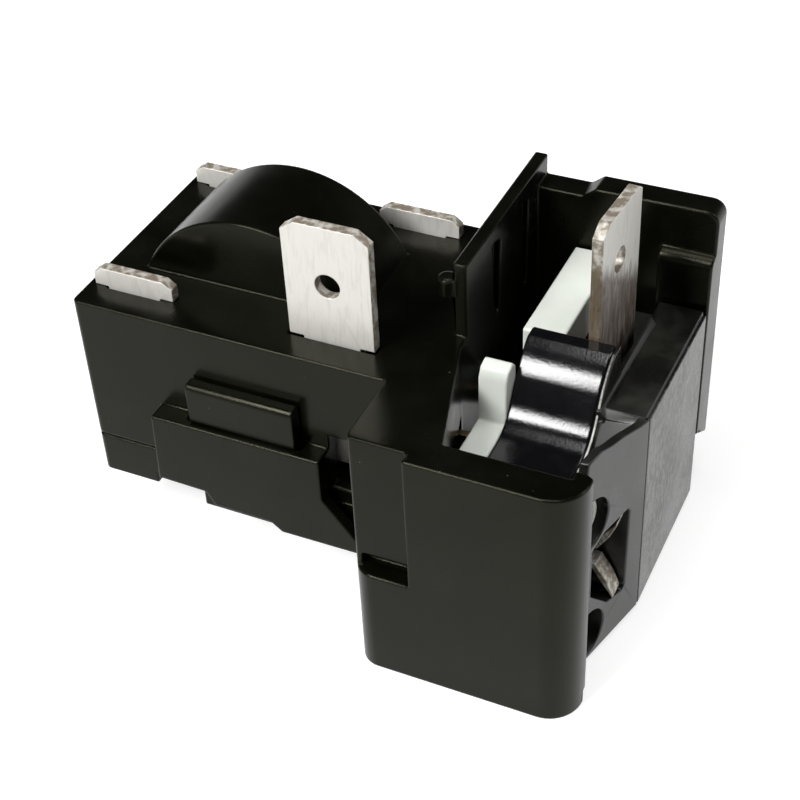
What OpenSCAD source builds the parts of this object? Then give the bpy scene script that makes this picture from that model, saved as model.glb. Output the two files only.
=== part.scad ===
// Compressor start relay with a plug-in overload protector.
// Datum: the front left bottom corner of the starter block, X to the right, Y to the back, Z up.
// from_datum() moves the datum so that the origin is the middle of the bottom of the whole relay.

/* [Starter block] */
// Length of the starter block
block_l = 24; // [22:0.5:28]
// Depth of the starter block, front to back
block_w = 18.5; // [17.5:0.5:22]
// Height of the starter block
block_h = 15.5; // [14.5:0.5:18]
// Wall of the housing moulding
wall = 1.1; // [0.9:0.1:1.3]
// Roof of the starter block
roof_t = 1.4; // [1.2:0.1:1.8]
// Radius of the vertical edges of the block
edge_r = 0.5; // [0.3:0.1:1]
// Height of the bottom cover's outer rim
cover_h = 3.5; // [3:0.25:4]
// Floor of the bottom cover
cover_t = 1.3; // [1:0.1:1.6]
// Gap between pieces that are assembled by hand
fit_gap = 0.1; // [0.05:0.05:0.2]

/* [Starter pill] */
// Diameter of the ceramic pill
pill_d = 15.4; // [13:0.2:15.6]
// Thickness of the ceramic pill
pill_t = 2.6; // [2:0.2:3]
// Radial room round the pill
pill_room = 0.35; // [0.3:0.05:0.6]
// Depth of the dome, front to back
dome_len = 8.1; // [8:0.1:9]
// Front face of the dome behind the front of the block
dome_setback = 5.4; // [5:0.2:6]
// Thickness of the contact spring sheet
spring_t = 0.3; // [0.2:0.05:0.4]

/* [Blade tabs] */
// Width of a blade tab
tab_w = 6.3; // [4.8:0.1:6.3]
// Thickness of a blade tab
tab_t = 0.8; // [0.5:0.1:0.8]
// Length of the tall tab above the roof
tall_tab_h = 9; // [8:0.5:11]
// Length of a short tab above the roof
short_tab_h = 1.45; // [1:0.05:2.5]
// Diameter of the hole in the tall tab
tab_hole_d = 1.8; // [1.4:0.1:2]
// Corner cut at the tip of a blade
tab_tip = 1; // [0.6:0.1:1.2]
// Front face of the front tabs behind the front of the block
tab_front_y = 2.35; // [2.2:0.05:2.6]
// Gap between the rear tabs and the rear wall
tab_rear_gap = 0.1; // [0:0.05:0.2]

/* [Carrier] */
// Length of the protector carrier along X
carrier_l = 16.2; // [15.6:0.2:18]
// How far the carrier stands out in front of the block
carrier_front = 6.75; // [6.5:0.25:8]
// How far the carrier reaches below the block
carrier_drop = 4.2; // [4:0.2:5]
// Thickness of the carrier's front wall
front_wall = 2.45; // [2.2:0.05:2.6]
// Thickness of the carrier's rear wall
rear_wall = 2; // [1.6:0.1:2.4]
// Height of the rear wall above the block
rear_wall_h = 4.85; // [4:0.25:6]
// Floor of the carrier
floor_t = 1; // [0.8:0.1:1.2]
// Thickness of the divider plate
divider_t = 0.95; // [0.8:0.05:1.2]
// Height of the divider plate above the block
divider_h = 5.7; // [4.6:0.1:7]

/* [Protector] */
// Depth of the protector's base moulding, along X
base_d = 5.8; // [5.6:0.1:6.4]
// Width of the protector, front to back
prot_w = 21.6; // [21.2:0.2:22]
// Height of the protector's body
prot_h = 15.3; // [15:0.1:15.6]
// Wall of the protector's mouldings
prot_wall = 1.2; // [1:0.1:1.3]
// Thickness of the protector's cover, along X
prot_cover_d = 3.4; // [3.2:0.1:4]
// How far the cover's front wing is set back at its front edge
wing_set = 2.3; // [1.8:0.1:2.4]
// Diameter of the bimetal disc
bimetal_d = 11.4; // [10:0.2:12]
// Thickness of the bimetal disc
bimetal_t = 0.25; // [0.2:0.05:0.4]
// Turn of the protector's tab about the vertical
prot_tab_turn = 4; // [0:1:5]
// Length of the protector's tab above its body
prot_tab_h = 12.4; // [9:0.1:13]

/* [Pin sockets] */
// Diameter of a compressor pin
pin_d = 2.3; // [2:0.1:2.4]
// Wall of a rolled pin socket
socket_t = 0.3; // [0.25:0.05:0.35]
// Length of a rolled pin socket
socket_l = 5.6; // [4.6:0.2:6]
// Distance between the two rolled sockets
pin_pitch = 10.2; // [9.6:0.1:10.3]
// Distance from the rolled sockets back to the common socket
common_back = 3.6; // [3.2:0.1:3.8]

/* [Hidden] */
$fn = 48;
tiny = 0.01;

// Starter block
block_in_x0 = wall;
block_in_x1 = block_l - wall;
block_in_y0 = wall;
block_in_y1 = block_w - wall;
roof_z = block_h - roof_t;
dome_wall = 1.05;
dome_r = pill_d / 2 + pill_room + dome_wall;
dome_off = 0.75;
dome_x = block_l / 2 - dome_off;
pill_lift = 0.3;
dome_z = cover_h + pill_room + pill_d / 2 + pill_lift;
frame_rim = 0.4;
seat_rim = 1.1;
sheet_gap = 0.4;
dome_y1 = dome_setback + dome_len;
pill_y = dome_setback + dome_len / 2;

// Blade tabs
tall_tab_x = block_l - tab_w - 1.8;
left_tab_x = 0.55;
rear_tab_y = block_in_y1 - tab_rear_gap - tab_t;
stem_w = 4.2;
stem_foot_z = cover_h + 2;

// Carrier
carrier_x1 = block_l + carrier_l;
carrier_y0 = -carrier_front;
cavity_y0 = carrier_y0 + front_wall;
prot_y0 = cavity_y0 + fit_gap * 2;
prot_y1 = prot_y0 + prot_w;
prot_back_gap = 0.6;
rail_t = 0.8;
rail_l = 3.9;
rail_z0 = 1.4;
rail_z1 = block_h + 1.5;
rail_y = prot_y1 + prot_back_gap;
cavity_y1 = rail_y + rail_t;
carrier_y1 = cavity_y1 + rear_wall;
side_wall = 3.2;
cavity_x0 = block_l + side_wall;
cavity_cut = [side_wall - 0.5, 9.3];
cavity_floor = -carrier_drop + floor_t;
front_wall_inset = 0.65;
front_wall_x1 = carrier_x1 - front_wall_inset;
hook_t = 1.2;
hook_l = 0.8;
rear_join_y = min(block_w, cavity_y1) - 0.5;
rear_foot_z = -0.3;
strip_w = 4.2;
strip_d = 0.85;
strip_z = 4.6;

// Protector
prot_x2 = carrier_x1;
prot_x1 = prot_x2 - prot_cover_d;
prot_x0 = prot_x1 - base_d;
prot_z0 = cavity_floor;
prot_z1 = prot_z0 + prot_h;
step_t = 0.4;
step_z = prot_z1 - 0.9;
foot_y = prot_y0 + 5.45;
foot_r = 3.2;
lobe_y = prot_y0 + 14.05;
lobe_r = 6.08;
lobe_z = prot_z1 - 1.47;
lobe_y1 = prot_y0 + 12.35;
lobe_top = prot_z1 + 3.95;
bar_top = prot_z1 + 3.4;
chamber_y = prot_y0 + 14.4;
chamber_z = prot_z0 + prot_h / 2 + 0.1;
chamber_r = bimetal_d / 2 + 0.6;
prot_tab_x = prot_x1 - 2;
prot_tab_y = prot_y0 + 12.45;

// Protector's cover
cover_lip = 0.5;
cover_y1 = prot_y1 + 0.3;
cover_z0 = prot_z0 - cover_lip;
cover_top = prot_z1 + 0.95;
cover_rise = 0.35;
wing_y = prot_y0 + 9.15;
wing_slope = wing_set / (wing_y - prot_y0);
ear_t = 0.65;
pad_t = 0.25;
seam_w = 0.15;
ridge_t = 0.27;
ridge_w = 0.62;
ridge_z = prot_z1 + 1.5;
ridge_y = prot_y1 - 2.3;

// Pin sockets
socket_y = prot_y0 + 2.9;
run_z = prot_z0 + 1.9;
start_z = run_z + pin_pitch;
common_y = socket_y + common_back;
common_drop = 0.5;
common_z = (start_z + run_z) / 2 - common_drop;
pocket_y1 = socket_y + 2.1;
socket_r = pin_d / 2;
socket_x1 = prot_x1 - fit_gap;
socket_x0 = socket_x1 - socket_l;
bar_t = 0.8;
bar_w = 2.1;
boss_r = socket_r + socket_t + 0.4;
pin_hole_r = boss_r + 0.15;
carrier_plate_x = prot_x0 - 2;
strap_t = 0.5;
strap_w = 1.4;
strap_leg_x = carrier_plate_x + 0.45;
prong_r = 0.5;
plate_y1 = prot_y0 + 17.5;
plate_z = prot_z0 + 10.6;
post_y1 = prot_y0 + 9.3;
post_r = 0.8;
leaf_w = 1.4;
leaf_t = 0.3;
leaf_gap = 0.75;
leaf_flare = 3.2;
leaf_root = 1.3;
leaf_mouth = 2.6;

// Protector's switch
contact_arm = 4.4;
contact_t = 0.55;
moving_r = 0.9;
fixed_r = 1.1;
nut_t = 1.2;
nut_r = 1.8;
heater_t = 0.3;
heater_gap = 0.4;
heater_r = 3.6;
heater_w = 1;
heater_slot = 0.8;

function arc(cx, cy, r, a0, a1, n = 8) =
  [for (i = [0 : n]) let (a = a0 + (a1 - a0) * i / n) [cx + r * cos(a), cy + r * sin(a)]];

module from_datum() {
  translate([-carrier_x1 / 2, -(carrier_y0 + carrier_y1) / 2, carrier_drop]) children();
}

// A box between two corners
module span(a, b) {
  translate(a) cube(b - a);
}

// A plan with round corners
module round_plan(a, b, r) {
  translate([a[0] + r, a[1]]) square([b[0] - a[0] - 2 * r, b[1] - a[1]]);
  translate([a[0], a[1] + r]) square([b[0] - a[0], b[1] - a[1] - 2 * r]);
  for (x = [a[0] + r, b[0] - r], y = [a[1] + r, b[1] - r]) translate([x, y]) circle(r);
}

// A profile in the YZ plane, drawn from x0 to x1
module along_x(x0, x1) {
  translate([x0, 0, 0]) rotate([90, 0, 90]) linear_extrude(x1 - x0) children();
}

// A profile in the XZ plane, drawn from y0 to y1
module along_y(y0, y1) {
  translate([0, y1, 0]) rotate([90, 0, 0]) linear_extrude(y1 - y0) children();
}

// A profile in plan, drawn from z0 to z1
module along_z(z0, z1) {
  translate([0, 0, z0]) linear_extrude(z1 - z0) children();
}

// Housing: block, dome, carrier, divider and rear wall are one moulding
loop_x0 = 6.2;
loop_x1 = 19.4;
loop_top = 8.15;
loop_y = -1.6;
latch_x0 = 9.1;
latch_x1 = 17.4;
latch_slot = 0.85;
port_x0 = loop_x1;
port_x1 = block_in_x1;
port_z0 = 4.7;
port_z1 = 9.3;

module loop_outline() {
  polygon([[loop_x0, loop_top], [loop_x1, loop_top], [loop_x1, port_z0], [22.2, 1.3], [21.8, 0.45],
    [15.9, 0.4], [15, 1.1], [10.5, 1.1], [9.9, 2.2], [6, 2.3]]);
}

divider_y0 = 6.1;
bead_r = 0.65;
bead_h = 1.4;
bead_drop = 1.2;
strap_room = 0.6;

module carrier_plan() {
  rl = 1.6;
  rr = 2.4;
  translate([block_l + rl, carrier_y0]) square([front_wall_x1 - block_l - rl - rr, carrier_y1 - carrier_y0]);
  translate([block_l - tiny, carrier_y0 + rl]) square([rl + 2 * tiny, carrier_y1 - carrier_y0 - rl]);
  translate([block_l + rl, carrier_y0 + rl]) circle(rl);
  translate([front_wall_x1 - rr, carrier_y0 + rr]) circle(rr);
  translate([front_wall_x1 - rr, carrier_y0 + rr]) square([rr, carrier_y1 - carrier_y0 - rr]);
}

module cavity_plan() {
  polygon([[cavity_x0, cavity_y1], [cavity_x0, cavity_y0 + cavity_cut[1]], [cavity_x0 + cavity_cut[0], cavity_y0],
    [carrier_x1 + 1, cavity_y0], [carrier_x1 + 1, cavity_y1]]);
}

module rear_wall_outline() {
  x0 = cavity_x0 - divider_t;
  top = block_h + rear_wall_h;
  corner = 1;
  polygon(concat([[x0, 0], [x0, top - 0.7], [x0 + 4.3, top - 0.7], [x0 + 5.2, top]],
    arc(carrier_x1 - corner, top - corner, corner, 90, 0, 6), [[carrier_x1, rear_foot_z], [x0 + 4, rear_foot_z]]));
}

module divider_slots() {
  // tapered slots in the divider's inner face
  for (s = [[11.3, 1.5, 14], [16.6, 1.2, 12.8]])
    along_x(cavity_x0 - 0.55, cavity_x0 + tiny)
      polygon([[s[0] - s[1] / 2, block_h + divider_h - 1.2], [s[0] + s[1] / 2, block_h + divider_h - 1.6],
        [s[0] + s[1] / 4, s[2]], [s[0] - s[1] / 4, s[2]]]);
}

module relay_housing() {
  from_datum() color("#232420") difference() {
    union() {
      along_z(cover_h, block_h) round_plan([0, 0], [block_l + edge_r, block_w], edge_r);
      intersection() {
        along_y(dome_setback, dome_y1) translate([dome_x, dome_z]) circle(dome_r, $fn = 96);
        span([0, 0, roof_z], [block_l, block_w, block_h + dome_r]);
      }
      along_y(loop_y, 0) loop_outline();
      span([loop_x0 + 1, loop_y / 2, cover_h], [loop_x1 - 0.5, tiny, loop_top]);
      along_z(-carrier_drop, block_h) intersection() {
        carrier_plan();
        translate([block_l - 1, carrier_y0]) square([carrier_l + 2, rail_y - carrier_y0]);
      }
      along_z(rear_foot_z, block_h) translate([block_l, rear_join_y])
        square([cavity_x0 - block_l, carrier_y1 - rear_join_y]);
      along_y(cavity_y1, carrier_y1) rear_wall_outline();
      span([cavity_x0 - divider_t, divider_y0, block_h - tiny], [cavity_x0, carrier_y1, block_h + divider_h]);
      // rail on the rear wall that holds the protector's back edge
      along_x(carrier_x1 - rail_l, carrier_x1) polygon(concat([[cavity_y1 + tiny, rail_z0], [rail_y, rail_z0]],
        arc(cavity_y1, rail_z1 - rail_t, rail_t, 180, 90, 5)));
      // bead at the front edge of the divider
      translate([cavity_x0 - divider_t - bead_r + 0.2, divider_y0 + 0.2, block_h + divider_h - bead_drop - bead_h])
        cylinder(h = bead_h, r = bead_r);
    }
    // inside of the starter block
    span([block_in_x0, block_in_y0, cover_h - 1], [block_in_x1, block_in_y1, roof_z]);
    along_y(dome_setback + dome_wall, dome_y1 - dome_wall)
      translate([dome_x, dome_z]) circle(dome_r - dome_wall, $fn = 96);
    // slots for the tabs
    tab_slot(tall_tab_x, tab_front_y, tab_w);
    for (t = [[left_tab_x, tab_front_y], [left_tab_x, rear_tab_y], [tall_tab_x, rear_tab_y]])
      tab_slot(t[0] + (tab_w - stem_w) / 2, t[1], stem_w);
    // slot of the loop for the latch arm, and the open port beside it
    span([latch_x0 - 0.3, -latch_slot, -1], [latch_x1 + 0.3, 0, loop_top + 1]);
    span([port_x0, loop_y - 1, port_z0], [port_x1 - 0.3, wall + tiny, port_z1]);
    span([loop_x1 - 0.5, -0.7, 1.5], [loop_x1 + 2, 0, port_z0 + tiny]);
    // cavity of the carrier, and the openings for the straps
    difference() {
      along_z(cavity_floor, block_h + divider_h + 4) cavity_plan();
      span([cavity_x0 - 1, rail_y, cavity_floor - 1], [carrier_x1 + 2, cavity_y1 + 1, rail_z1]);
      along_z(cavity_floor - 1, block_h + 1) hook_plan();
    }
    along_z(cavity_floor, block_h + divider_h + 4) intersection() {
      cavity_plan();
      square([carrier_x1 - rail_l, carrier_y1]);
    }
    span([prot_x1 - fit_gap, cavity_y0, -carrier_drop - 1], [carrier_x1 + 1, rail_y + 1, cavity_floor + tiny]);
    span([block_in_x1 - tiny, start_strap_y - strap_room, cover_h + 1.4],
      [cavity_x0 + cavity_cut[0], start_strap_y + strap_t + strap_room, start_z + strap_w / 2 + strap_room]);
    span([block_in_x1 - tiny, run_strap_y - strap_room, run_strap_z - strap_room],
      [cavity_x0 + tiny, run_strap_y + strap_t + strap_room, run_strap_z + strap_w + strap_room]);
    // recessed strip at the left of the carrier's front, with a deeper pocket at its foot
    span([block_l - 1, carrier_y0 - 1, strip_z], [block_l + strip_w, carrier_y0 + strip_d, block_h + 1]);
    span([block_l + 0.6, carrier_y0 - 1, strip_z], [block_l + strip_w - 0.3, carrier_y0 + strip_d * 2, strip_z + 1]);
    // slanted foot of the rear wall
    along_x(cavity_x0 + rail_l, carrier_x1 + 1) polygon([[carrier_y1 + tiny, rear_foot_z], [rail_y - tiny, rail_z0 + 0.2],
      [rail_y - tiny, rear_foot_z - 1], [carrier_y1 + tiny, rear_foot_z - 1]]);
    divider_slots();
  }
}

// Hook at the end of the front wall that holds the cover's front edge
module hook_plan() {
  translate([front_wall_x1 - hook_t, cavity_y0 - tiny]) polygon([[0, 0], [0, hook_l], [hook_t * 0.5, hook_l],
    [hook_t, hook_l * 0.6], [hook_t, 0]]);
}

module tab_slot(x, y, w) {
  span([x - fit_gap, y - fit_gap, roof_z - 1], [x + w + fit_gap, y + tab_t + fit_gap, block_h + 1]);
}

// Bottom cover with the two snap arms
module snap_arm() {
  arm_t = 0.6;
  head_z = loop_top + fit_gap;
  span([latch_x0, -arm_t - 0.1, 0], [latch_x1, -0.1, head_z + 0.1]);
  along_x(latch_x0, latch_x1) polygon([[-0.1, head_z], [-1.15, head_z], [-1.15, head_z + 2.9],
    [-0.9, head_z + 3.2], [-0.1, head_z + 3.2]]);
}

module bottom_cover() {
  rim = wall;
  from_datum() color("#262722") {
    difference() {
      union() {
        along_z(0, cover_h - fit_gap) round_plan([0, 0], [block_l - fit_gap, block_w], edge_r);
        along_z(cover_h - fit_gap - tiny, cover_h + seat_rim)
          round_plan([wall + fit_gap, wall + fit_gap], [block_l - wall - fit_gap, block_w - wall - fit_gap], 0.4);
        snap_arm();
        span([latch_x0, -0.7, 0], [latch_x1, 0.5, cover_t]);
      }
      span([wall + 1, wall + 1, cover_t], [block_l - wall - 1, block_w - wall - 1, cover_h + 2]);
      span([4.7, -tiny - 0.05, -1], [9, 3, 1.15]);
      // room for the tab stems
      for (t = [[left_tab_x, tab_front_y], [left_tab_x, rear_tab_y], [tall_tab_x, tab_front_y], [tall_tab_x, rear_tab_y]])
        span([t[0] - 0.2, t[1] - 0.2, cover_t + 0.5], [t[0] + tab_w + 0.2, t[1] + tab_t + 0.2, cover_h + 2]);
    }
  }
}

// Ceramic pill and what presses on it
module starter_pill() {
  from_datum() color("#6f6a66") translate([dome_x, pill_y + pill_t / 2, dome_z]) rotate([90, 0, 0])
    rotate_extrude() polygon([[0, 0], [pill_d / 2 - 0.3, 0], [pill_d / 2, 0.3], [pill_d / 2, pill_t - 0.3],
      [pill_d / 2 - 0.3, pill_t], [0, pill_t]]);
}

// One contact spring: a flat plate with a bent leg that lies on its tab's stem.
// side is -1 in front of the pill and 1 behind it.
module contact_spring(side, stem_y, stem_x) {
  plate_y = pill_y + side * (pill_t / 2 + 0.55 + spring_t);
  y0 = side < 0 ? plate_y : plate_y - spring_t;
  leg_z0 = stem_foot_z;
  leg_z1 = stem_foot_z + 3;
  plate_x1 = stem_x + stem_w;
  span([dome_x - 4, y0, leg_z0], [plate_x1, y0 + spring_t, roof_z - 2 * fit_gap]);
  // two dished pads that bear on the pill
  for (x = [-2.4, 2.4]) along_contact(side, y0) translate([dome_x + x, dome_z])
    circle(1.5);
  // leg from the plate back to the stem
  leg = side < 0 ? [stem_y + tab_t, y0 + spring_t] : [y0, stem_y];
  span([stem_x, leg[0], leg_z0], [stem_x + spring_t, leg[1], leg_z1]);
  foot_y = side < 0 ? stem_y + tab_t : stem_y - spring_t;
  span([stem_x, foot_y, leg_z0], [stem_x + stem_w - 0.4, foot_y + spring_t, leg_z1]);
}

module along_contact(side, y0) {
  if (side < 0) along_y(y0 + spring_t - tiny, pill_y - pill_t / 2) children();
  else along_y(pill_y + pill_t / 2, y0 + tiny) children();
}

module front_contact_spring() {
  from_datum() color("#b9a06a") contact_spring(-1, tab_front_y, tall_tab_x + (tab_w - stem_w) / 2);
}

module rear_contact_spring() {
  from_datum() color("#b9a06a") contact_spring(1, rear_tab_y, tall_tab_x + (tab_w - stem_w) / 2);
}

// Frame of heat-proof moulding that holds the pill on edge, with a foot on the bottom cover's floor
module pill_frame() {
  half = pill_d / 2 + frame_rim;
  shelf_z = cover_h + seat_rim;
  from_datum() color("#3a3632") along_y(pill_y - pill_t / 2 + 0.3, pill_y + pill_t / 2 - 0.3) difference() {
    union() {
      translate([dome_x - half, shelf_z]) square([2 * half, roof_z - shelf_z - fit_gap]);
      translate([dome_x - half + 2, cover_t]) square([2 * half - 4, shelf_z - cover_t + tiny]);
    }
    translate([dome_x, dome_z]) circle(pill_d / 2 + 0.05, $fn = 96);
    translate([dome_x - pill_d / 2 + 1, dome_z]) square([pill_d - 2, pill_d / 2 + 1]);
  }
}

// Sheet between the rear spring and the wall
module insulating_sheet() {
  from_datum() color("#c9bb94") span([left_tab_x + tab_w + sheet_gap, dome_y1 + fit_gap, cover_h + seat_rim + fit_gap],
    [tall_tab_x - sheet_gap, dome_y1 + fit_gap + spring_t, roof_z - fit_gap]);
}

// Blade tabs
module blade_outline(w, h, tip, far_tip) {
  polygon([[0, 0], [w, 0], [w, h - far_tip * 0.7], [w - far_tip, h], [tip, h], [0, h - tip * 0.7]]);
}

module roof_tab(x, y, h, drilled) {
  tip = min(tab_tip, 0.45 * h);
  difference() {
    union() {
      along_y(y, y + tab_t) translate([x, block_h]) blade_outline(tab_w, h, tip, tip);
      span([x + (tab_w - stem_w) / 2, y, stem_foot_z - 0.6], [x + (tab_w + stem_w) / 2, y + tab_t, block_h + tiny]);
    }
    if (drilled) translate([x + tab_w / 2, y - 1, block_h + h / 2]) rotate([-90, 0, 0])
      cylinder(h = tab_t + 2, d = tab_hole_d);
  }
}

module tall_tab() {
  from_datum() color("#e2dfd8") {
    roof_tab(tall_tab_x, tab_front_y, tall_tab_h, true);
  }
}

module short_tab_left() {
  from_datum() color("#e2dfd8") roof_tab(left_tab_x, tab_front_y, short_tab_h, false);
}

module short_tab_rear_left() {
  from_datum() color("#e2dfd8") roof_tab(left_tab_x, rear_tab_y, short_tab_h, false);
}

module short_tab_rear_right() {
  from_datum() color("#e2dfd8") roof_tab(tall_tab_x, rear_tab_y, short_tab_h, false);
}

// Rolled sockets for the start and run pins
module rolled_socket(z) {
  translate([socket_x0, socket_y, z]) rotate([0, 90, 0]) difference() {
    cylinder(h = socket_l, r = socket_r + socket_t);
    translate([0, 0, -1]) cylinder(h = socket_l + 2, r = socket_r);
    translate([-0.25, 0, -1]) cube([0.5, socket_r + 1, socket_l + 2]);
  }
}

module start_pin_socket() {
  from_datum() color("#d8cfae") rolled_socket(start_z);
}

module run_pin_socket() {
  from_datum() color("#d8cfae") rolled_socket(run_z);
}

// Straps from the contact springs to the rolled sockets. Each lies in a groove of the white carrier
// and ends in a prong at the back of its socket.
start_strap_y = tab_front_y + tab_t;
run_strap_y = pill_y + pill_t / 2 + 0.55 + spring_t;
run_strap_z = cover_h + 1.8;

start_leg = [[socket_y - 0.7, start_z - strap_w / 2], [start_strap_y + strap_t, start_z - strap_w / 2],
  [start_strap_y + strap_t, start_z + strap_w / 2], [socket_y - 0.7, start_z + strap_w / 2]];
run_leg = [[socket_y - 0.7, run_z - strap_w / 2], [socket_y + strap_w, run_z - strap_w / 2],
  [run_strap_y + strap_t, run_strap_z], [run_strap_y + strap_t, run_strap_z + strap_w],
  [run_strap_y - 1, run_strap_z + strap_w], [socket_y - 0.7, run_z + strap_w / 2]];

module prong(z, r) {
  translate([strap_leg_x + strap_t - tiny, socket_y, z]) rotate([0, 90, 0])
    cylinder(h = socket_x0 - strap_leg_x - strap_t + tiny, r = r);
}

module start_strap() {
  from_datum() color("#d8cfae") {
    span([tall_tab_x + (tab_w + stem_w) / 2 - 0.35, start_strap_y, start_z - strap_w / 2],
      [strap_leg_x + tiny, start_strap_y + strap_t, start_z + strap_w / 2]);
    along_x(strap_leg_x, strap_leg_x + strap_t) polygon(start_leg);
    prong(start_z, prong_r);
  }
}

module run_strap() {
  from_datum() color("#d8cfae") {
    span([tall_tab_x + (tab_w + stem_w) / 2 - 3, run_strap_y, run_strap_z],
      [strap_leg_x + tiny, run_strap_y + strap_t, run_strap_z + strap_w]);
    along_x(strap_leg_x, strap_leg_x + strap_t) polygon(run_leg);
    prong(run_z, prong_r);
  }
}

// White carrier of the sockets, beside and under the protector
module socket_carrier() {
  from_datum() color("#e6eae2") difference() {
    union() {
      along_x(carrier_plate_x, prot_x0) polygon([[prot_y0, prot_z0], [plate_y1, prot_z0], [plate_y1, plate_z],
        [post_y1, plate_z + 1.6], [post_y1, bar_top - 0.5], [post_y1 - 0.5, bar_top], [post_y1 - 1.3, bar_top - 0.2],
        [post_y1 - 1.7, bar_top - 0.9], [post_y1 - 1.8, step_z], [prot_y0, step_z]]);
      span([prot_x0 - bar_t, lobe_y1 + fit_gap, prot_z1 + fit_gap], [prot_x0 + bar_w, cavity_y1 - 2 * fit_gap, bar_top]);
      span([prot_x0 - bar_t, lobe_y1 + fit_gap, plate_z - 1], [prot_x0, cavity_y1 - 2 * fit_gap, prot_z1 + 0.2]);
      span([prot_x0 - tiny, prot_y0, prot_z0], [prot_x1, pocket_y1, step_z - step_t - fit_gap]);
      // bosses that lead the pins in through the cover's holes
      for (z = [start_z, run_z]) intersection() {
        translate([prot_x1 - tiny, socket_y, z]) rotate([0, 90, 0]) cylinder(h = prot_cover_d, r = boss_r);
        along_z(prot_z0, prot_z1) wing_plan(prot_x1 - 1, pad_t);
      }
    }
    for (z = [start_z, run_z]) {
      translate([socket_x0, socket_y, z]) rotate([0, 90, 0])
        cylinder(h = socket_l + prot_cover_d + 1, r = socket_r + socket_t + 0.05);
      prong(z, prong_r + 0.05);
    }
    // grooves of the straps
    for (leg = [start_leg, run_leg]) along_x(carrier_plate_x - 1, strap_leg_x + strap_t) polygon(leg);
    along_z(prot_z0 - 1, bar_top + 1) polygon([[cavity_x0 - 1, cavity_y0 + cavity_cut[1]],
      [cavity_x0 + fit_gap, cavity_y0 + cavity_cut[1]], [cavity_x0 + cavity_cut[0] + fit_gap, cavity_y0],
      [cavity_x0 - 1, cavity_y0]]);
  }
}

// Protector
nose = concat(arc(foot_y, step_z + foot_r, foot_r, -90, -30, 6), arc(lobe_y, lobe_z, lobe_r, 150, 117, 6),
  [[lobe_y1, lobe_top]]);

module base_outline() {
  polygon(concat([[prot_y0, step_z]], nose,
    [[lobe_y1, prot_z1], [prot_y1, prot_z1], [prot_y1, prot_z0], [prot_y0, prot_z0]]));
}

module protector_base() {
  from_datum() color("#15161a") difference() {
    along_x(prot_x0, prot_x1) base_outline();
    // pocket of the socket carrier
    span([prot_x0 - 1, prot_y0 - 1, prot_z0 - 1], [prot_x1 + 1, pocket_y1 + fit_gap, step_z - step_t]);
    // pocket of the common socket, hole of the post and slot of the tab
    span([prot_x0 + 1.9, pocket_y1, common_z - leaf_gap - leaf_t - 0.5],
      [prot_x1 + 1, common_y + leaf_w / 2 + fit_gap, common_z + leaf_gap + leaf_t + 0.5]);
    translate([prot_x0 - 1, chamber_y, chamber_z]) rotate([0, 90, 0]) cylinder(h = 4, r = post_r + 0.03);
    prot_tab_place() span([-0.05, 0.9, -6], [tab_t + 0.05, tab_w - 0.9, 1]);
    // chamber of the bimetal disc
    translate([prot_x0 + prot_wall, chamber_y, chamber_z]) rotate([0, 90, 0])
      cylinder(h = base_d, r = chamber_r, $fn = 96);
  }
}

// Plan of the cover up to its leaning wing, from x0 to the wing's face less the given depth
module wing_plan(x0, depth) {
  polygon([[x0, prot_y0], [prot_x2 - wing_set - depth, prot_y0], [prot_x2 - depth, wing_y],
    [prot_x2 - depth, prot_y1 + 1], [x0, prot_y1 + 1]]);
}

module cover_body() {
  polygon([[prot_y0, cover_z0], [cover_y1, cover_z0], [cover_y1, cover_top], [wing_y, cover_top + cover_rise],
    [wing_y - 0.55, cover_top], [wing_y - 1.85, step_z], [prot_y0, step_z]]);
}

// The wing's plate stands above the cover's body as an ear
module ear_outline() {
  polygon([[prot_y0, cover_z0], [wing_y, cover_z0], [wing_y, cover_top + 0.25], [wing_y - 0.95, cover_top + 0.4],
    [wing_y - 2.85, cover_top + 0.95], [wing_y - 4.25, cover_top + 1.2], [wing_y - 5.35, cover_top + 1.55],
    [wing_y - 6.75, cover_top + 1.4], [wing_y - 6.95, cover_top - 0.1], [prot_y0, cover_top - 0.4]]);
}

module pad_outline() {
  polygon([[wing_y + seam_w, cover_z0], [cover_y1, cover_z0], [cover_y1 - 0.1, cover_top - pad_t],
    [wing_y + seam_w, cover_top + cover_rise - pad_t]]);
}

module protector_cover() {
  from_datum() color("#4a4b47") difference() {
    union() {
      intersection() {
        along_x(prot_x1, prot_x2 - pad_t) cover_body();
        along_z(cover_z0 - 1, cover_top + 1) wing_plan(prot_x1 - 1, 0);
      }
      intersection() {
        along_x(prot_x1, prot_x2) ear_outline();
        along_z(cover_z0 - 1, cover_top + 2) polygon([[prot_x2 - wing_set - ear_t, prot_y0],
          [prot_x2 - wing_set, prot_y0], [prot_x2, wing_y], [prot_x2 - ear_t, wing_y]]);
      }
      along_x(prot_x2 - pad_t - tiny, prot_x2) pad_outline();
      // ridge along the seam, which follows the base's nose
      along_x(prot_x1, prot_x1 + ridge_t) polygon(concat([[foot_y, step_z - 0.5]], nose,
        [[lobe_y1 + 0.4, ridge_z], [ridge_y, ridge_z], [ridge_y, step_z - 0.5]]));
      along_y(wing_y - 0.75, ridge_y) polygon([[prot_x1, cover_top - 1], [prot_x1, ridge_z],
        [prot_x1 + ridge_t, ridge_z], [prot_x1 + ridge_w, cover_top], [prot_x1 + ridge_w, cover_top - 1]]);
    }
    translate([prot_x1 - tiny, chamber_y, chamber_z]) rotate([0, 90, 0])
      cylinder(h = prot_cover_d - prot_wall, r = chamber_r, $fn = 96);
    for (z = [start_z, run_z]) translate([prot_x1 - 1, socket_y, z]) rotate([0, 90, 0])
      cylinder(h = prot_cover_d + 2, r = pin_hole_r);
    common_opening();
  }
}

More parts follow.
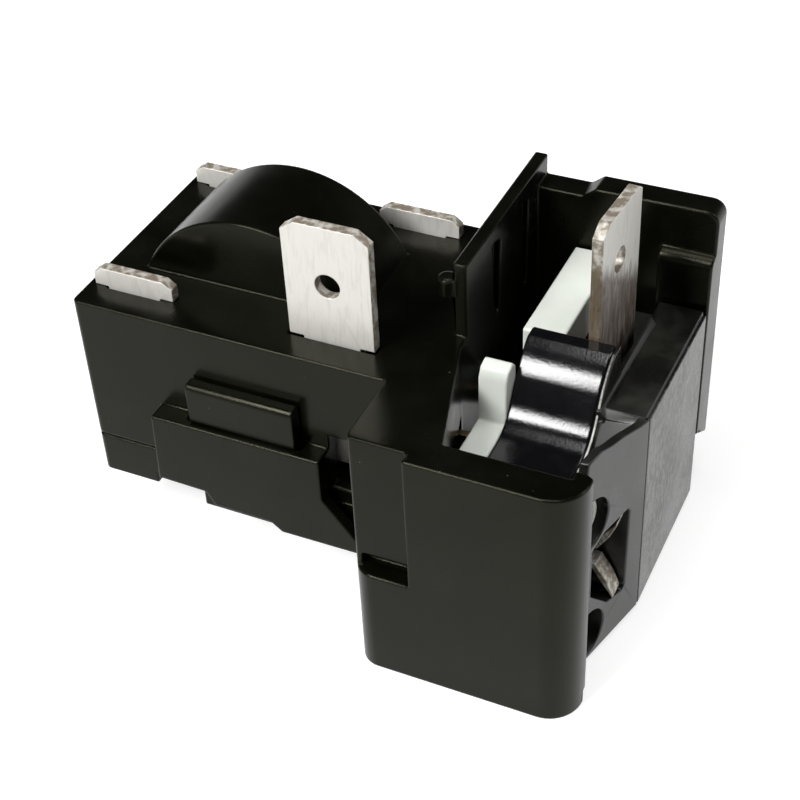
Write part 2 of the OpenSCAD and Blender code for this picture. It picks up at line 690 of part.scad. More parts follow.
module prot_tab_place() {
  translate([prot_tab_x, prot_tab_y, prot_z1]) rotate([0, 0, -prot_tab_turn]) children();
}

module common_opening() {
  y0 = common_y - 3.3;
  y1 = common_y + leaf_w / 2 + 0.3;
  z1 = common_z + leaf_flare + leaf_t + 0.25;
  z0 = common_z - leaf_flare - leaf_t - 0.2;
  along_x(prot_x1 - 1, prot_x2 + 1) polygon([[y1 - 0.25, z1], [y1, z1 - 0.35], [y1 - 0.15, z0 + 0.3],
    [y1 - 0.5, z0], [y1 - 2.3, z0 + 0.4], [y0, z0 + 2.6], [y0, z1 - 0.65], [y0 + 0.6, z1 - 0.3], [y0 + 1.3, z1]]);
}

module protector_tab() {
  foot_h = 4;
  from_datum() color("#dcd8cf") prot_tab_place()
    difference() {
      along_x(0, tab_t) union() {
        blade_outline(tab_w, prot_tab_h, tab_tip, tab_tip / 2);
        translate([1, -foot_h]) square([tab_w - 2, foot_h + tiny]);
      }
      translate([-1, tab_w * 0.47, prot_tab_h - 3.9]) rotate([0, 90, 0]) cylinder(h = tab_t + 2, d = tab_hole_d);
    }
}

// Two sprung leaves that bend apart towards the pin
module common_pin_socket() {
  root_x = prot_x1 + leaf_root;
  mouth_x = prot_x1 + leaf_mouth;
  tail_x = prot_x0 + 2.2;
  mid_x = (root_x + mouth_x) / 2 - 0.1;
  mid_z = (leaf_gap + leaf_flare) / 2 + 0.15;
  from_datum() color("#dcd8cf") for (s = [1, -1])
    along_y(common_y - leaf_w / 2, common_y + leaf_w / 2)
      polygon([for (p = [[tail_x, leaf_gap], [root_x, leaf_gap], [mid_x + leaf_t, mid_z], [mouth_x, leaf_flare],
        [mouth_x, leaf_flare + leaf_t], [mid_x, mid_z + leaf_t], [root_x - leaf_t, leaf_gap + leaf_t],
        [tail_x, leaf_gap + leaf_t]]) [p[0], common_z + s * p[1]]]);
}

module bimetal_disc() {
  from_datum() color("#b7a78c") translate([moving_x1, chamber_y, chamber_z]) rotate([0, 90, 0])
    cylinder(h = bimetal_t, r = bimetal_d / 2);
}

moving_x1 = prot_x1 + 0.2;
module contacts(x, r) {
  for (s = [1, -1]) translate([x, chamber_y, chamber_z + s * contact_arm]) rotate([0, 90, 0])
    cylinder(h = contact_t, r = r);
}

module moving_contacts() {
  from_datum() color("#dedede") contacts(moving_x1 - contact_t, moving_r);
}

module fixed_contacts() {
  from_datum() color("#dedede") contacts(moving_x1 - 2 * contact_t, fixed_r);
}

module bimetal_post() {
  from_datum() color("#a9a9a4") translate([prot_x0, chamber_y, chamber_z]) rotate([0, 90, 0])
    cylinder(h = base_d + 0.2, r = post_r);
}

module calibration_nut() {
  from_datum() color("#b9a06a") translate([prot_x0 + prot_wall, chamber_y, chamber_z]) rotate([0, 90, 0]) difference() {
    cylinder(h = nut_t, r = nut_r, $fn = 6);
    translate([0, 0, -1]) cylinder(h = nut_t + 2, r = post_r + 0.03);
  }
}

module heater_strip() {
  x0 = prot_x0 + prot_wall + nut_t + heater_gap;
  from_datum() color("#8c8378") along_x(x0, x0 + heater_t) translate([chamber_y, chamber_z]) difference() {
    circle(heater_r);
    circle(heater_r - heater_w);
    translate([-heater_r - 1, -heater_slot / 2]) square([heater_r + 1, heater_slot]);
  }
}

relay_housing();
bottom_cover();
starter_pill();
front_contact_spring();
rear_contact_spring();
pill_frame();
insulating_sheet();
tall_tab();
short_tab_left();
short_tab_rear_left();
short_tab_rear_right();
start_pin_socket();
run_pin_socket();
start_strap();
run_strap();
socket_carrier();
protector_base();
protector_cover();
protector_tab();
common_pin_socket();
bimetal_disc();
moving_contacts();
fixed_contacts();
bimetal_post();
calibration_nut();
heater_strip();
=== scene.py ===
# Compressor start relay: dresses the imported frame, then sets the floor, the lamps and the camera
import bpy, bmesh, math
from mathutils import Matrix, Vector


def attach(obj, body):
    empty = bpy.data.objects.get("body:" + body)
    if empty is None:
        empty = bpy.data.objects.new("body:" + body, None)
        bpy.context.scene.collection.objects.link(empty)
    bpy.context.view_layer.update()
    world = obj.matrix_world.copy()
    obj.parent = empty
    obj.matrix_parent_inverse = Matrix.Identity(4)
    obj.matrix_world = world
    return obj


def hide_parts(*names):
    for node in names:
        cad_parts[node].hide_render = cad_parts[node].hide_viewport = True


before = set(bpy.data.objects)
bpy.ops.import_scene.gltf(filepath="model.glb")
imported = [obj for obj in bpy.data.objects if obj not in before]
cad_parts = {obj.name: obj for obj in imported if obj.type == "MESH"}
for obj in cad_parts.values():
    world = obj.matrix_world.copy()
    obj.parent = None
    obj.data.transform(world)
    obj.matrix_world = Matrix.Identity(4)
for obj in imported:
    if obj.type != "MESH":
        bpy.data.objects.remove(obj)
mm = 0.001
scene = bpy.context.scene


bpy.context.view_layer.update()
print("frame loaded:", len(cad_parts), "nodes")


# shader helpers: every pattern reads Object coordinates
def startMaterial(name):
    mat = bpy.data.materials.new(name)
    mat.use_nodes = True
    tree = mat.node_tree
    shader = tree.nodes["Principled BSDF"]
    coords = tree.nodes.new("ShaderNodeTexCoord").outputs["Object"]
    return mat, tree, shader, coords


def stretched(tree, coords, scale):
    node = tree.nodes.new("ShaderNodeMapping")
    node.inputs["Scale"].default_value = scale
    tree.links.new(coords, node.inputs["Vector"])
    return node.outputs["Vector"]


def noise(tree, coords, perMm, detail=3.0, rough=0.55, warp=0.0):
    node = tree.nodes.new("ShaderNodeTexNoise")
    node.inputs["Scale"].default_value = perMm / mm
    node.inputs["Detail"].default_value = detail
    node.inputs["Roughness"].default_value = rough
    node.inputs["Distortion"].default_value = warp
    tree.links.new(coords, node.inputs["Vector"])
    return node.outputs["Fac"]


def ramp(tree, value, low, high, fromValue=0.0, toValue=1.0):
    node = tree.nodes.new("ShaderNodeMapRange")
    node.clamp = True
    node.inputs["From Min"].default_value = low
    node.inputs["From Max"].default_value = high
    node.inputs["To Min"].default_value = fromValue
    node.inputs["To Max"].default_value = toValue
    tree.links.new(value, node.inputs["Value"])
    return node.outputs["Result"]


def calc(tree, operation, first, second=None):
    node = tree.nodes.new("ShaderNodeMath")
    node.operation = operation
    node.use_clamp = operation in ("ADD", "SUBTRACT", "MULTIPLY")
    for socket, value in zip(node.inputs, (first, second)):
        if value is None:
            continue
        if isinstance(value, (int, float)):
            socket.default_value = value
        else:
            tree.links.new(value, socket)
    return node.outputs["Value"]


def blendColour(tree, amount, under, over):
    node = tree.nodes.new("ShaderNodeMix")
    node.data_type = "RGBA"
    sockets = [s for s in node.inputs if s.type == "RGBA"]
    factor = [s for s in node.inputs if s.type == "VALUE"][0]
    tree.links.new(amount, factor)
    for socket, value in zip(sockets, (under, over)):
        if isinstance(value, tuple):
            socket.default_value = (*value, 1.0)
        else:
            tree.links.new(value, socket)
    return [s for s in node.outputs if s.type == "RGBA"][0]


def axes(tree, vector):
    split = tree.nodes.new("ShaderNodeSeparateXYZ")
    tree.links.new(vector, split.inputs["Vector"])
    return split.outputs


def roundedNormal(tree, radius):
    node = tree.nodes.new("ShaderNodeBevel")
    node.samples = 6
    node.inputs["Radius"].default_value = radius
    return node.outputs["Normal"]


def edgeMask(tree, radius, low=0.02, high=0.25):
    # 1 on a worn edge, 0 on a flat: how far the rounded normal leans from the true one
    geometry = tree.nodes.new("ShaderNodeNewGeometry")
    dot = tree.nodes.new("ShaderNodeVectorMath")
    dot.operation = "DOT_PRODUCT"
    tree.links.new(roundedNormal(tree, radius), dot.inputs[0])
    tree.links.new(geometry.outputs["Normal"], dot.inputs[1])
    return ramp(tree, calc(tree, "SUBTRACT", 1.0, dot.outputs["Value"]), low, high)


def bumpFrom(tree, height, strength, distance, edge=None):
    node = tree.nodes.new("ShaderNodeBump")
    node.inputs["Strength"].default_value = strength
    node.inputs["Distance"].default_value = distance
    tree.links.new(height, node.inputs["Height"])
    if edge is not None:
        tree.links.new(roundedNormal(tree, edge), node.inputs["Normal"])
    return node.outputs["Normal"]


# moulded plastics: warm black housing, polished base, satin cover, white insulator
housing = {
    "colour": (0.0018, 0.002, 0.001), "dusty": (0.0042, 0.0042, 0.0028), "worn": (0.15, 0.145, 0.125),
    "roughness": (0.19, 0.29), "specular": 0.16, "tint": (1.0, 1.0, 0.74),
    "cloudPerMm": 0.22, "speckPerMm": 2.6, "specks": (0.77, 0.8), "speckStrength": 0.7,
    "edge": 0.2 * mm, "chafe": 0.55, "grainPerMm": 5.0, "grain": 0.006 * mm,
}


def mouldedBlack():
    mat, tree, shader, coords = startMaterial("mouldedBlack")
    cloud = noise(tree, coords, housing["cloudPerMm"], 4)
    speck = noise(tree, coords, housing["speckPerMm"], 2, 0.6)
    base = blendColour(tree, ramp(tree, cloud, 0.42, 0.72), housing["colour"], housing["dusty"])
    dust = ramp(tree, speck, *housing["specks"], 0, housing["speckStrength"])
    base = blendColour(tree, dust, base, housing["worn"])
    patchy = ramp(tree, noise(tree, coords, 0.9), 0.4, 0.64)
    chafed = calc(tree, "MULTIPLY", edgeMask(tree, housing["edge"]), patchy)
    chafed = calc(tree, "MULTIPLY", chafed, housing["chafe"])
    tree.links.new(blendColour(tree, chafed, base, housing["worn"]), shader.inputs["Base Color"])
    tree.links.new(ramp(tree, cloud, 0.3, 0.7, *housing["roughness"]), shader.inputs["Roughness"])
    shader.inputs["Specular IOR Level"].default_value = housing["specular"]
    shader.inputs["Specular Tint"].default_value = (*housing["tint"], 1.0)
    grain = noise(tree, coords, housing["grainPerMm"], 3)
    bump = bumpFrom(tree, grain, 0.6, housing["grain"], housing["edge"])
    tree.links.new(bump, shader.inputs["Normal"])
    return mat


polished = {
    "colour": (0.0028, 0.0028, 0.0034), "smeared": (0.012, 0.011, 0.01), "worn": (0.12, 0.11, 0.1),
    "roughness": (0.1, 0.15), "specular": 0.5, "smearPerMm": 0.6, "smearStrength": 0.35,
    "edge": 0.12 * mm, "chafe": 0.2, "peelPerMm": 6.5, "peel": 0.007 * mm,
}


def polishedBlack():
    mat, tree, shader, coords = startMaterial("polishedBlack")
    upright = stretched(tree, coords, (1.0, 1.0, 0.25))
    smear = noise(tree, upright, polished["smearPerMm"], 4, 0.6, 0.6)
    hazy = ramp(tree, smear, 0.5, 0.8, 0, polished["smearStrength"])
    base = blendColour(tree, hazy, polished["colour"], polished["smeared"])
    chafed = calc(tree, "MULTIPLY", edgeMask(tree, polished["edge"]), polished["chafe"])
    tree.links.new(blendColour(tree, chafed, base, polished["worn"]), shader.inputs["Base Color"])
    tree.links.new(ramp(tree, smear, 0.35, 0.75, *polished["roughness"]), shader.inputs["Roughness"])
    shader.inputs["Specular IOR Level"].default_value = polished["specular"]
    peel = noise(tree, coords, polished["peelPerMm"], 3, 0.6)
    bump = bumpFrom(tree, peel, 1.0, polished["peel"], polished["edge"])
    tree.links.new(bump, shader.inputs["Normal"])
    return mat


# the cover is smooth on its front wing and mottled on its outer face behind the seam
cover = {
    "colour": (0.0035, 0.0036, 0.0028), "pale": (0.2, 0.205, 0.175), "worn": (0.16, 0.15, 0.135),
    "roughness": (0.24, 0.4), "specular": 0.5, "seam": (-1.9 * mm, -1.6 * mm),
    "face": (19.98 * mm, 20.06 * mm), "cloudPerMm": 0.22, "fleckPerMm": 2.2, "haze": 0.12,
    "edge": 0.12 * mm, "chafe": 0.45, "pitted": 0.03 * mm,
}


def satinCover():
    mat, tree, shader, coords = startMaterial("satinCover")
    split = axes(tree, coords)
    behind = ramp(tree, split["Y"], *cover["seam"])
    behind = calc(tree, "MULTIPLY", behind, ramp(tree, split["X"], *cover["face"]))
    cloud = noise(tree, coords, cover["cloudPerMm"], 4, 0.6)
    fleck = noise(tree, stretched(tree, coords, (1.0, 1.0, 0.6)), cover["fleckPerMm"], 4, 0.72)
    mottle = calc(tree, "MULTIPLY", ramp(tree, fleck, 0.44, 0.68), behind)
    mottle = calc(tree, "MULTIPLY", mottle, ramp(tree, cloud, 0.34, 0.6, 0.3, 1.0))
    haze = ramp(tree, cloud, 0.45, 0.75, 0, cover["haze"])
    base = blendColour(tree, calc(tree, "MAXIMUM", mottle, haze), cover["colour"], cover["pale"])
    chafed = calc(tree, "MULTIPLY", edgeMask(tree, cover["edge"]), cover["chafe"])
    tree.links.new(blendColour(tree, chafed, base, cover["worn"]), shader.inputs["Base Color"])
    tree.links.new(ramp(tree, cloud, 0.3, 0.7, *cover["roughness"]), shader.inputs["Roughness"])
    shader.inputs["Specular IOR Level"].default_value = cover["specular"]
    pits = calc(tree, "MULTIPLY", fleck, behind)
    bump = bumpFrom(tree, pits, 0.8, cover["pitted"], cover["edge"])
    tree.links.new(bump, shader.inputs["Normal"])
    return mat


insulator = {
    "colour": (0.75, 0.78, 0.72), "shade": (0.64, 0.69, 0.62), "roughness": (0.38, 0.5),
    "glow": 0.1, "glowDepth": 0.4 * mm, "cloudPerMm": 0.25, "shadeStrength": 0.5,
    "edge": 0.2 * mm, "grainPerMm": 8.0, "grain": 0.004 * mm,
}


def whiteInsulator():
    mat, tree, shader, coords = startMaterial("whiteInsulator")
    cloud = noise(tree, coords, insulator["cloudPerMm"], 3)
    shaded = ramp(tree, cloud, 0.4, 0.75, 0, insulator["shadeStrength"])
    base = blendColour(tree, shaded, insulator["colour"], insulator["shade"])
    tree.links.new(base, shader.inputs["Base Color"])
    tree.links.new(ramp(tree, cloud, 0.3, 0.7, *insulator["roughness"]), shader.inputs["Roughness"])
    shader.inputs["Subsurface Weight"].default_value = insulator["glow"]
    shader.inputs["Subsurface Radius"].default_value = (1.0, 1.0, 1.0)
    shader.inputs["Subsurface Scale"].default_value = insulator["glowDepth"]
    grain = noise(tree, coords, insulator["grainPerMm"], 2)
    bump = bumpFrom(tree, grain, 0.3, insulator["grain"], insulator["edge"])
    tree.links.new(bump, shader.inputs["Normal"])
    return mat


# the thin flash along the seam is bare and pale towards its foot
flash = {"pale": (0.62, 0.61, 0.58), "dark": (0.09, 0.085, 0.08), "height": (17.6 * mm, 20.5 * mm),
         "roughness": 0.35, "brokenPerMm": 2.4, "grainPerMm": 6.0, "grain": 0.01 * mm}


def bareFlash():
    mat, tree, shader, coords = startMaterial("bareFlash")
    height = ramp(tree, axes(tree, coords)["Z"], *flash["height"])
    patches = ramp(tree, noise(tree, coords, flash["brokenPerMm"], 3), 0.45, 0.7, 0, 0.5)
    broken = calc(tree, "ADD", height, patches)
    tree.links.new(blendColour(tree, broken, flash["pale"], flash["dark"]), shader.inputs["Base Color"])
    shader.inputs["Roughness"].default_value = flash["roughness"]
    grain = noise(tree, coords, flash["grainPerMm"])
    tree.links.new(bumpFrom(tree, grain, 0.4, flash["grain"]), shader.inputs["Normal"])
    return mat


# metals: tinned blades with brown sheared edges, brass springs, silver and steel
tin = {
    "colour": (0.75, 0.73, 0.68), "tarnish": (0.07, 0.045, 0.03), "shear": (0.16, 0.12, 0.07),
    "metallic": 0.25, "roughness": (0.36, 0.48), "streakPerMm": 1.3, "rolledPerMm": 2.5,
    "edge": 0.1 * mm, "rolled": 0.005 * mm,
}
# the protector's blade is darker and browner below a slanting line: height at the blade's middle and slope
darkSlant = {"height": 23.7 * mm, "slope": 0.61, "middle": 4.4 * mm, "ragged": 1.6 * mm, "soft": 0.7 * mm}


# 1 below a slanting line across the blade, with a ragged, soft edge that follows the streaks
def darkSlantMask(tree, coords, streak):
    split = axes(tree, coords)
    lean = tree.nodes.new("ShaderNodeMath")
    lean.operation = "MULTIPLY_ADD"
    tree.links.new(split["Y"], lean.inputs[0])
    lean.inputs[1].default_value = darkSlant["slope"]
    tree.links.new(split["Z"], lean.inputs[2])
    wander = ramp(tree, streak, 0.3, 0.7, -darkSlant["ragged"] / 2, darkSlant["ragged"] / 2)
    height = tree.nodes.new("ShaderNodeMath")  # adds, unclamped
    tree.links.new(lean.outputs["Value"], height.inputs[0])
    tree.links.new(wander, height.inputs[1])
    top = darkSlant["height"] + darkSlant["slope"] * darkSlant["middle"]
    low = ramp(tree, height.outputs["Value"], top + darkSlant["soft"], top - darkSlant["soft"])
    return calc(tree, "MULTIPLY", low, ramp(tree, streak, 0.3, 0.6, 0.7, 1.0))


def tinnedBlade(name, across, darkBelowSlant=False, tarnish=0.1):
    # across is the axis that the blade's flat faces look along; the other sides were sheared
    mat, tree, shader, coords = startMaterial(name)
    streak = noise(tree, stretched(tree, coords, (2.4, 2.4, 0.35)), tin["streakPerMm"], 4, 0.65, 0.4)
    rolled = noise(tree, stretched(tree, coords, (6.0, 6.0, 0.5)), tin["rolledPerMm"], 2)
    brown = calc(tree, "MULTIPLY", ramp(tree, streak, 0.5, 0.64), tarnish)
    # on the protector's blade the tarnish colour also darkens everything below the slanting line
    if darkBelowSlant:
        brown = calc(tree, "MAXIMUM", brown, darkSlantMask(tree, coords, streak))
    base = blendColour(tree, brown, tin["colour"], tin["tarnish"])
    facing = axes(tree, tree.nodes.new("ShaderNodeNewGeometry").outputs["Normal"])
    side = ramp(tree, calc(tree, "ABSOLUTE", facing[across]), 0.9, 0.6)
    side = calc(tree, "MULTIPLY", side, ramp(tree, noise(tree, coords, 1.7, 3), 0.4, 0.56, 0.25, 0.85))
    rim = edgeMask(tree, tin["edge"], 0.03, 0.3)
    rim = calc(tree, "MULTIPLY", rim, ramp(tree, noise(tree, coords, 1.4), 0.42, 0.58, 0.1, 0.8))
    base = blendColour(tree, calc(tree, "MAXIMUM", rim, side), base, tin["shear"])
    tree.links.new(base, shader.inputs["Base Color"])
    shader.inputs["Metallic"].default_value = tin["metallic"]
    tree.links.new(ramp(tree, streak, 0.3, 0.7, *tin["roughness"]), shader.inputs["Roughness"])
    bump = bumpFrom(tree, rolled, 0.2, tin["rolled"], tin["edge"] * 0.6)
    tree.links.new(bump, shader.inputs["Normal"])
    return mat


# inner pieces: material name, clean and dull colour, roughness, metallic, stretch of the fine lines
plain = {
    "brass": ("springBrass", (0.78, 0.62, 0.34), (0.52, 0.38, 0.19), (0.25, 0.45), 1.0, (8.0, 1.0, 1.0)),
    "bimetal": ("rolledBimetal", (0.6, 0.55, 0.47), (0.42, 0.36, 0.29), (0.3, 0.45), 1.0, (1.0, 1.0, 1.0)),
    "silver": ("contactSilver", (0.86, 0.86, 0.84), (0.6, 0.59, 0.56), (0.18, 0.35), 1.0, (1.0, 1.0, 1.0)),
    "steel": ("turnedSteel", (0.6, 0.6, 0.58), (0.45, 0.44, 0.42), (0.25, 0.4), 1.0, (1.0, 1.0, 1.0)),
    "heater": ("heaterAlloy", (0.4, 0.36, 0.33), (0.28, 0.22, 0.19), (0.4, 0.6), 1.0, (1.0, 1.0, 1.0)),
    "ceramic": ("pillCeramic", (0.17, 0.16, 0.15), (0.12, 0.11, 0.1), (0.6, 0.8), 0.0, (1.0, 1.0, 1.0)),
    "frame": ("frameMoulding", (0.09, 0.078, 0.068), (0.07, 0.06, 0.05), (0.5, 0.65), 0.0, (1.0, 1.0, 1.0)),
    "mica": ("micaSheet", (0.62, 0.53, 0.36), (0.5, 0.4, 0.25), (0.3, 0.5), 0.0, (1.0, 1.0, 1.0)),
}
plainDetail = {"patchPerMm": 0.7, "finePerMm": 4.0, "fine": 0.005 * mm, "edge": 0.06 * mm}


def plainFinish(name, colour, dull, roughness, metallic, lines):
    mat, tree, shader, coords = startMaterial(name)
    patch = noise(tree, coords, plainDetail["patchPerMm"], 4, 0.6)
    fine = noise(tree, stretched(tree, coords, lines), plainDetail["finePerMm"], 2)
    tree.links.new(blendColour(tree, ramp(tree, patch, 0.4, 0.7), colour, dull), shader.inputs["Base Color"])
    shader.inputs["Metallic"].default_value = metallic
    tree.links.new(ramp(tree, patch, 0.3, 0.7, *roughness), shader.inputs["Roughness"])
    bump = bumpFrom(tree, fine, 0.3, plainDetail["fine"], plainDetail["edge"])
    tree.links.new(bump, shader.inputs["Normal"])
    return mat


finishes = {
    "housing": mouldedBlack(),
    "polished": polishedBlack(),
    "cover": satinCover(),
    "white": whiteInsulator(),
    "flash": bareFlash(),
    "blade": tinnedBlade("tinnedBlade", "Y"),
    "slantDarkBlade": tinnedBlade("slantDarkBlade", "X", darkBelowSlant=True),
    "leaf": tinnedBlade("tinnedLeaf", "Z", tarnish=0.5),
}
finishes.update({key: plainFinish(*values) for key, values in plain.items()})
nodeFinish = {
    "relay_housing": "housing", "bottom_cover": "housing", "starter_pill": "ceramic",
    "front_contact_spring": "brass", "rear_contact_spring": "brass", "pill_frame": "frame",
    "insulating_sheet": "mica", "tall_tab": "blade", "short_tab_left": "blade",
    "short_tab_rear_left": "blade", "short_tab_rear_right": "blade", "start_pin_socket": "brass",
    "run_pin_socket": "brass", "start_strap": "brass", "run_strap": "brass", "socket_carrier": "white",
    "protector_base": "polished", "protector_cover": "cover", "protector_tab": "slantDarkBlade",
    "common_pin_socket": "leaf", "bimetal_disc": "bimetal", "moving_contacts": "silver",
    "fixed_contacts": "silver", "bimetal_post": "steel", "calibration_nut": "brass", "heater_strip": "heater",
}
for name, finish in nodeFinish.items():
    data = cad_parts[name].data
    data.materials.clear()
    data.materials.append(finishes[finish])
print("finishes set on", len(nodeFinish), "nodes")


# the white bosses end further back inside the cover's pin holes than their solids do
bosses = {"from": 17.0 * mm, "between": 8.0 * mm, "lower": 17.0 * mm, "upperBack": 0.45 * mm}


def setBossesBack(bm):
    for vert in bm.verts:
        if vert.co.x > bosses["from"] and vert.co.z < bosses["between"]:
            vert.co.x = bosses["lower"]
        elif vert.co.x > bosses["from"]:
            vert.co.x = max(bosses["from"], vert.co.x - bosses["upperBack"])


# outer pieces get true rounded edges, and each stands for its node
rounding = {"sharpAngle": math.radians(32), "flatAngle": math.radians(0.6), "segments": 3, "merge": 0.02 * mm}


def roundedCopy(node, name, width):
    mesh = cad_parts[node].data.copy()
    mesh.name = name
    piece = bpy.data.objects.new(name, mesh)
    scene.collection.objects.link(piece)
    bm = bmesh.new()
    bm.from_mesh(mesh)
    bmesh.ops.remove_doubles(bm, verts=bm.verts, dist=rounding["merge"])
    bmesh.ops.dissolve_limit(bm, angle_limit=rounding["flatAngle"], verts=bm.verts, edges=bm.edges)
    # a large face with many corners folds over itself once its rim is rounded, so it is cut up first
    bmesh.ops.triangulate(bm, faces=[f for f in bm.faces if len(f.verts) > 4])
    if node == "socket_carrier":
        setBossesBack(bm)
    bm.to_mesh(mesh)
    bm.free()
    bevel = piece.modifiers.new("edges", "BEVEL")
    bevel.width = width
    bevel.segments = rounding["segments"]
    bevel.limit_method = "ANGLE"
    bevel.angle_limit = rounding["sharpAngle"]
    bevel.use_clamp_overlap = False
    bevel.loop_slide = False  # sliding along the cuts draws corners out into spikes
    bevel.miter_outer = "MITER_ARC"
    flatten = piece.modifiers.new("normals", "WEIGHTED_NORMAL")
    flatten.mode = "FACE_AREA"
    flatten.keep_sharp = True
    mesh.shade_smooth()
    mesh.set_sharp_from_angle(angle=rounding["sharpAngle"])
    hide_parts(node)
    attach(piece, "root")


# node: piece, width of its rounded edges, slot
roundings = {
    "relay_housing": ("housingMoulding", 0.14 * mm, "housing_black"),
    "bottom_cover": ("bottomClosure", 0.12 * mm, "housing_black"),
    "socket_carrier": ("socketInsulator", 0.14 * mm, "insulator_white"),
    "protector_base": ("protectorShell", 0.16 * mm, "protector_black"),
    "protector_cover": ("protectorLid", 0.09 * mm, "cover_grey"),
    "tall_tab": ("tallBlade", 0.06 * mm, "tinned_tab"),
    "short_tab_left": ("leftBlade", 0.06 * mm, "tinned_tab"),
    "short_tab_rear_left": ("rearLeftBlade", 0.06 * mm, "tinned_tab"),
    "short_tab_rear_right": ("rearRightBlade", 0.06 * mm, "tinned_tab"),
    "protector_tab": ("protectorBlade", 0.06 * mm, "tinned_tab"),
    "common_pin_socket": ("commonLeaves", 0.05 * mm, "tinned_tab"),
}
for node, (name, width, slotName) in roundings.items():
    roundedCopy(node, name, width)
print("rounded pieces:", len(roundings))


# seam flash between the base's lobe and the cover: a bead that follows the nose, all in mm
seam = {
    "across": 16.84, "radius": 0.075, "raise": 0.03, "spacing": 0.15, "sides": 10, "steps": 12,
    "foot": {"centre": (-5.725, 18.6), "radius": 3.2, "turn": (-100, -30), "side": -1},
    "lobe": {"centre": (2.875, 14.83), "radius": 6.08, "turn": (150, 117), "side": 1},
}


def bowPoints(bow):
    radius = bow["radius"] + bow["side"] * seam["raise"]
    start, end = bow["turn"]
    points = []
    for i in range(seam["steps"] + 1):
        angle = math.radians(start + (end - start) * i / seam["steps"])
        y = bow["centre"][0] + radius * math.cos(angle)
        z = bow["centre"][1] + radius * math.sin(angle)
        points.append(Vector((seam["across"], y, z)) * mm)
    return points


def beadNodes():
    tree = bpy.data.node_groups.new("seamBeadNodes", "GeometryNodeTree")
    face = tree.interface
    face.new_socket("Path", in_out="INPUT", socket_type="NodeSocketGeometry")
    face.new_socket("Bead radius", in_out="INPUT", socket_type="NodeSocketFloat")
    face.new_socket("Spacing", in_out="INPUT", socket_type="NodeSocketFloat")
    face.new_socket("Sides", in_out="INPUT", socket_type="NodeSocketInt")
    face.new_socket("Finish", in_out="INPUT", socket_type="NodeSocketMaterial")
    face.new_socket("Bead", in_out="OUTPUT", socket_type="NodeSocketGeometry")
    given = tree.nodes.new("NodeGroupInput")
    result = tree.nodes.new("NodeGroupOutput")
    route = tree.nodes.new("GeometryNodeMeshToCurve")
    even = tree.nodes.new("GeometryNodeResampleCurve")
    even.mode = "LENGTH"
    ring = tree.nodes.new("GeometryNodeCurvePrimitiveCircle")
    sweep = tree.nodes.new("GeometryNodeCurveToMesh")
    real = tree.nodes.new("GeometryNodeRealizeInstances")
    paint = tree.nodes.new("GeometryNodeSetMaterial")
    sweep.inputs["Fill Caps"].default_value = True
    link = tree.links.new
    link(given.outputs["Path"], route.inputs["Mesh"])
    link(route.outputs["Curve"], even.inputs["Curve"])
    link(given.outputs["Spacing"], even.inputs["Length"])
    link(given.outputs["Bead radius"], ring.inputs["Radius"])
    link(given.outputs["Sides"], ring.inputs["Resolution"])
    link(even.outputs["Curve"], sweep.inputs["Curve"])
    link(ring.outputs["Curve"], sweep.inputs["Profile Curve"])
    link(sweep.outputs["Mesh"], real.inputs["Geometry"])
    link(real.outputs["Geometry"], paint.inputs["Geometry"])
    link(given.outputs["Finish"], paint.inputs["Material"])
    link(paint.outputs["Geometry"], result.inputs["Bead"])
    return tree


def makeSeamBead():
    points = bowPoints(seam["foot"]) + bowPoints(seam["lobe"])
    path = bpy.data.meshes.new("seamPath")
    path.from_pydata(points, [(i, i + 1) for i in range(len(points) - 1)], [])
    carrier = bpy.data.objects.new("seamPath", path)
    scene.collection.objects.link(carrier)
    tree = beadNodes()
    modifier = carrier.modifiers.new("bead", "NODES")
    modifier.node_group = tree
    values = {"Bead radius": seam["radius"] * mm, "Spacing": seam["spacing"] * mm, "Sides": seam["sides"],
              "Finish": finishes["flash"]}
    for item in tree.interface.items_tree:
        if item.in_out == "INPUT" and item.name in values:
            modifier[item.identifier] = values[item.name]
    carrier.update_tag()
    depsgraph = bpy.context.evaluated_depsgraph_get()
    mesh = bpy.data.meshes.new_from_object(carrier.evaluated_get(depsgraph))
    mesh.name = "seamBead"
    carrier.modifiers.remove(modifier)
    bpy.data.objects.remove(carrier)
    piece = bpy.data.objects.new("seamBead", mesh)
    scene.collection.objects.link(piece)
    mesh.shade_smooth()
    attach(piece, "root")
    return piece


print("seam bead:", len(makeSeamBead().data.polygons), "faces")


# floor and world: pale near the horizon, dark above, so that the black plastics stay black
studio = {
    "floor": (0.5, 0.5, 0.495), "floorSize": 6.0, "floorRoughness": 0.8, "lift": 0.72,
    "horizon": (1.0, 1.0, 0.99), "ceiling": (0.03, 0.03, 0.033), "paleBand": (0.08, 0.2),
}


def makeFloor():
    half = studio["floorSize"] / 2
    mesh = bpy.data.meshes.new("floor")
    edge = [(-half, -half, 0), (half, -half, 0), (half, half, 0), (-half, half, 0)]
    mesh.from_pydata(edge, [], [(0, 1, 2, 3)])
    floor = bpy.data.objects.new("floor", mesh)
    scene.collection.objects.link(floor)
    mat = bpy.data.materials.new("paleFloor")
    mat.use_nodes = True
    tree = mat.node_tree
    shader = tree.nodes["Principled BSDF"]
    shader.inputs["Base Color"].default_value = (*studio["floor"], 1)
    shader.inputs["Roughness"].default_value = studio["floorRoughness"]
    shader.inputs["Specular IOR Level"].default_value = 0.0
    path = tree.nodes.new("ShaderNodeLightPath")
    seen = calc(tree, "MAXIMUM", path.outputs["Is Camera Ray"], path.outputs["Is Glossy Ray"])
    seen = calc(tree, "MAXIMUM", seen, path.outputs["Is Transmission Ray"])
    shader.inputs["Emission Color"].default_value = (1, 1, 1, 1)
    tree.links.new(calc(tree, "MULTIPLY", seen, studio["lift"]), shader.inputs["Emission Strength"])
    mesh.materials.append(mat)


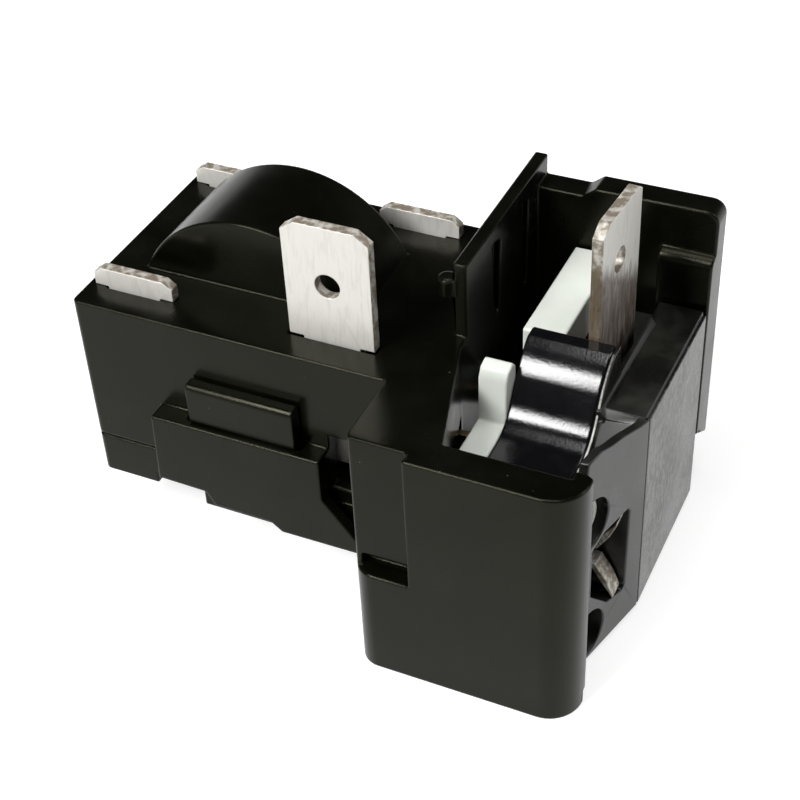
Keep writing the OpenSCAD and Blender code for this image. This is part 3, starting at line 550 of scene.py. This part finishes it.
def makeWorld():
    world = bpy.data.worlds.new("studioWorld")
    scene.world = world
    world.use_nodes = True
    tree = world.node_tree
    background = tree.nodes["Background"]
    coords = tree.nodes.new("ShaderNodeTexCoord").outputs["Generated"]
    height = ramp(tree, axes(tree, coords)["Z"], *studio["paleBand"])
    sky = blendColour(tree, height, studio["horizon"], studio["ceiling"])
    tree.links.new(sky, background.inputs["Color"])
    background.inputs["Strength"].default_value = 1.0


# the key lamp stands where it makes the two bright bands on the protector's lobe
lamps = {
    "keyLamp": {"place": (-0.346, -0.637, 0.701), "side": 0.34, "power": 10.0},
    "topLamp": {"place": (0.0, -0.12, 1.0), "side": 0.4, "power": 4.0},
    "fillLamp": {"place": (0.8, 0.45, 0.75), "side": 0.5, "power": 4.0},
}
lampTarget = Vector((0.0, 0.0, 0.012))


def areaLamp(name, place, side, power):
    light = bpy.data.lights.new(name, "AREA")
    light.shape = "RECTANGLE"
    light.size = side
    light.size_y = side
    light.energy = power
    lamp = bpy.data.objects.new(name, light)
    lamp.location = place
    lamp.rotation_mode = "QUATERNION"
    lamp.rotation_quaternion = (lampTarget - Vector(place)).to_track_quat("-Z", "Y")
    scene.collection.objects.link(lamp)


makeFloor()
makeWorld()
for name, lamp in lamps.items():
    areaLamp(name, **lamp)
print("studio set")


# camera, placed where it stood in the photograph; its place is in mm
camera = {
    "lens": 74.27, "sensor": 36.0, "clip": (0.005, 20.0), "place": (41.7, -80.375, 86.15),
    "right": (0.90816529, 0.41646133, -0.04237643),
    "down": (0.23606941, -0.59311285, -0.76973267),
    "ahead": (-0.3456979, 0.68904072, -0.63695828),
}


def makeCamera():
    data = bpy.data.cameras.new("photoCamera")
    data.sensor_fit = "HORIZONTAL"
    data.sensor_width = camera["sensor"]
    data.lens = camera["lens"]
    data.clip_start, data.clip_end = camera["clip"]
    cam = bpy.data.objects.new("photoCamera", data)
    scene.collection.objects.link(cam)
    right, down, ahead = (Vector(camera[k]).normalized() for k in ("right", "down", "ahead"))
    turn = Matrix((right, -down, -ahead)).transposed().to_4x4()
    cam.matrix_world = Matrix.Translation(Vector(camera["place"]) * mm) @ turn
    scene.camera = cam


makeCamera()
scene.view_settings.view_transform = "Standard"
